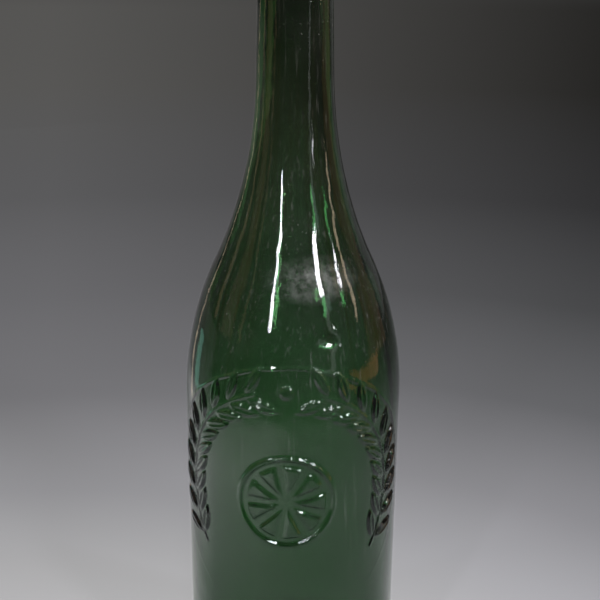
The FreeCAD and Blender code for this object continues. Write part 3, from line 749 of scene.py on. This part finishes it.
spot = node(tree, "ShaderNodeSeparateXYZ", {"Vector": place})
depth = node(tree, "ShaderNodeMath", {0: reach, 1: SLANT_START}, operation="ADD")
slant = node(tree, "ShaderNodeMath", {0: spot.outputs["X"], 1: depth}, operation="DIVIDE")
across = node(tree, "ShaderNodeMapRange", {"Value": slant, **ranged(-SLANT_REACH, SLANT_REACH)})
layers = {"Factor": across, "A": sides[0], "B": sides[1]}
near_painted_falloff = node(tree, "ShaderNodeMix", layers, data_type="RGBA")
# Far off, the painted falloff fades to the grey of the room
far_off = node(tree, "ShaderNodeMapRange", {"Value": reach, **ranged(FAR_START, FAR_END)})
layers = {"Factor": far_off, "A": near_painted_falloff, "B": linear("#4f4f4f")}
painted_falloff = node(tree, "ShaderNodeMix", layers, data_type="RGBA")

# Painted reflections: for what the glass mirrors, the paper is painted palest on the left, painted with
# shade to the right in front of the bottle and at its foot, and painted dark where the room begins
off_axis = node(tree, "ShaderNodeVectorMath", {0: place}, operation="LENGTH")
painted_pale_left = node(tree, "ShaderNodeMapRange", {"Value": slant, **ranged(-0.33, -0.45)})
painted_shade_right = node(tree, "ShaderNodeMapRange", {"Value": spot.outputs["X"], **ranged(-0.1, 0.04)})
ahead = node(tree, "ShaderNodeMapRange", {"Value": spot.outputs["Y"], **ranged(0.045, -0.03)})
beside = node(tree, "ShaderNodeMapRange", {"Value": off_axis, **ranged(0.46, 0.3)})
painted_foot_shade = node(tree, "ShaderNodeMapRange", {"Value": off_axis, **ranged(0.25, 0.1)})
painted_room_dark = node(tree, "ShaderNodeMapRange", {"Value": off_axis, **ranged(0.24, 0.44)})
painted_reflection_shades = (
    (painted_pale_left, beside, "#fdfdff"), (ahead, painted_shade_right, "#a4a4a8"), (ahead, painted_foot_shade, "#b0b0b5"),
    (ahead, painted_room_dark, "#303030"),
)
painted_reflection = painted_falloff
for one_way, other_way, code in painted_reflection_shades:
    share = node(tree, "ShaderNodeMath", {0: one_way, 1: other_way}, operation="MULTIPLY")
    layers = {"Factor": share, "A": painted_reflection, "B": linear(code)}
    painted_reflection = node(tree, "ShaderNodeMix", layers, data_type="RGBA")

# The paper glows a little where it is seen, directly or in the glass, and takes shadow as paper does
SEEN_GLOW, MIRRORED_GLOW, GLOW_SHARE = 0.7, 1.15, 0.8
path = node(tree, "ShaderNodeLightPath")
camera_ray, through = path.outputs["Is Camera Ray"], path.outputs["Is Transmission Ray"]
looked_at = node(tree, "ShaderNodeMath", {0: camera_ray, 1: through}, operation="ADD")
seen = node(tree, "ShaderNodeMath", {0: looked_at, 1: SEEN_GLOW}, operation="MULTIPLY")
ways = {0: path.outputs["Is Glossy Ray"], 1: through}
mirrored = node(tree, "ShaderNodeMath", ways, operation="GREATER_THAN")
glows = {0: mirrored, 1: MIRRORED_GLOW, 2: seen}
glowing = node(tree, "ShaderNodeMath", glows, operation="MULTIPLY_ADD")
# Mirrored rays see the painted reflections, and other rays see the painted falloff
layers = {"Factor": mirrored, "A": painted_falloff, "B": painted_reflection}
shade = node(tree, "ShaderNodeMix", layers, data_type="RGBA")
glow = node(tree, "ShaderNodeEmission", {"Color": shade, "Strength": glowing})
paper = node(tree, "ShaderNodeBsdfDiffuse", {"Color": shade})
mixed = node(tree, "ShaderNodeMixShader", {"Fac": GLOW_SHARE, 1: paper, 2: glow})
node(tree, "ShaderNodeOutputMaterial", {"Surface": mixed})
floor.data.materials.append(paper_with_painted_light)

# Studio light
# Tall soft strips in front to the left and right, with weak tinted ones and panels at the sides, high
# strips all round, and a grey room.

world = bpy.data.worlds.new("studio")
world.use_nodes = True
world.node_tree.nodes.clear()
air = node(world.node_tree, "ShaderNodeBackground", {"Color": linear("#3c3c3c"), "Strength": 1.0})
node(world.node_tree, "ShaderNodeOutputWorld", {"Surface": air})
bpy.context.scene.world = world


def strip_lamp(
    name, bearing, distance, low, high, width, radiance, code, through=False, mirrored=True
):
    """An upright strip that faces the bottle, with its bearing from the front and its sizes in metres.

    It shows behind the glass if it is seen through, and as a reflection if it is mirrored.
    """
    turn = math.radians(bearing)
    lamp = bpy.data.lights.new(name, "AREA")
    lamp.shape = "RECTANGLE"
    lamp.size, lamp.size_y = width, high - low
    lamp.energy = radiance * width * (high - low) * math.pi
    lamp.color = linear(code)[:3]
    stand = bpy.data.objects.new(name, lamp)
    stand.location = (distance * math.sin(turn), -distance * math.cos(turn), (low + high) / 2)
    inward = Vector((-stand.location.x, -stand.location.y, 0))
    stand.rotation_euler = inward.to_track_quat("-Z", "Y").to_euler()
    stand.visible_camera = False
    stand.visible_transmission = through
    stand.visible_glossy = mirrored
    bpy.context.scene.collection.objects.link(stand)


WHITE, GREY, GREEN, AMBER, TAN = "#f8f4ff", "#dfe2e6", "#70e080", "#ffb060", "#d8b48a"
strip_lamp("left_strip", -23.0, 2.4, 0.79, 3.2, 0.115, 48.0, WHITE, through=True)
strip_lamp("right_strip", 40.0, 0.9, 0.572, 1.3, 0.1, 44.0, WHITE, through=True)
strip_lamp("right_thin_strip", 71.0, 0.9, 0.53, 1.3, 0.04, 42.0, WHITE, through=True)
strip_lamp("right_warm_strip", 83.0, 0.9, 0.29, 0.82, 0.05, 6.0, "#e8cdb0")
# Low strips, one inside the next, make an amber glow with a soft edge
AMBER_FOOT, AMBER_HEIGHT, AMBER_WIDTH = 0.004, 0.07, 0.5
for share in (0.25, 0.5, 0.75, 1.0):
    amber_top = AMBER_FOOT + AMBER_HEIGHT * share
    strip_lamp("right_low_strip", 82.0, 0.66, AMBER_FOOT, amber_top, AMBER_WIDTH * share, 0.7, AMBER)
strip_lamp("right_green_strip", 41.0, 0.9, 0.45, 0.572, 0.05, 7.0, GREEN)
strip_lamp("right_thin_green_strip", 70.0, 0.9, 0.42, 0.5, 0.05, 7.0, GREEN)
strip_lamp("left_teal_strip", -113.0, 0.33, 0.03, 0.12, 0.05, 1.4, "#78bca8")
strip_lamp("right_short_strip", 50.0, 0.9, 0.3, 0.36, 0.04, 20.0, WHITE)
strip_lamp("right_cool_strip", 45.0, 0.9, 0.45, 0.56, 0.15, 1.3, "#b4dcc8")
strip_lamp("right_amber_panel", 107.0, 0.9, 0.02, 0.4, 0.5, 0.15, "#ffc078")
strip_lamp("right_faint_strip", 44.0, 0.9, 0.1, 0.5, 0.07, 0.8, "#e4ecea")
strip_lamp("left_panel", -146.0, 1.6, 0.0, 1.2, 1.0, 0.24, GREY, through=True, mirrored=False)
strip_lamp("left_edge_strip", -126.0, 0.33, 0.002, 0.6, 0.011, 1.6, "#efd2b8")
strip_lamp("right_panel", 142.0, 1.6, 0.0, 1.0, 0.8, 0.16, GREY, through=True)
# High strips give the upper edges of the raised design their glints
for bearing in (-100.0, -60.0, 10.0, 75.0, 110.0):
    strip_lamp("high_strip", bearing, 0.9, 0.85, 1.25, 0.08, 40.0, WHITE)
for bearing, width, radiance in ((-58.0, 0.05, 0.5), (-76.0, 0.26, 0.3), (-98.0, 0.08, 0.6)):
    strip_lamp("left_faint_strip", bearing, 0.9, 0.2, 1.1, width, radiance, TAN)

# Camera
# It looks down at the bottle's shoulder from the front, so near that the mouth and base are cropped.

CAMERA_AWAY, CAMERA_HEIGHT = 0.3439, 0.2748
CAMERA_BEARING, CAMERA_PITCH, CAMERA_ASIDE = 2.8, 18.0, 0.0023
CAMERA_ROLL = 0.45
SENSOR, LENS = 36.0, 59.3
bearing = math.radians(CAMERA_BEARING)
view = bpy.data.cameras.new("photo_camera")
view.sensor_width = SENSOR
view.lens = LENS
camera = bpy.data.objects.new("photo_camera", view)
camera.location = (
    CAMERA_AWAY * math.sin(bearing) + CAMERA_ASIDE * math.cos(bearing),
    -CAMERA_AWAY * math.cos(bearing) + CAMERA_ASIDE * math.sin(bearing),
    CAMERA_HEIGHT,
)
level_view = Euler((math.radians(90.0 - CAMERA_PITCH), 0.0, bearing)).to_matrix()
camera.rotation_euler = (level_view @ Matrix.Rotation(math.radians(CAMERA_ROLL), 3, "Z")).to_euler()
bpy.context.scene.collection.objects.link(camera)
bpy.context.scene.camera = camera
bpy.context.scene.view_settings.view_transform = "Standard"
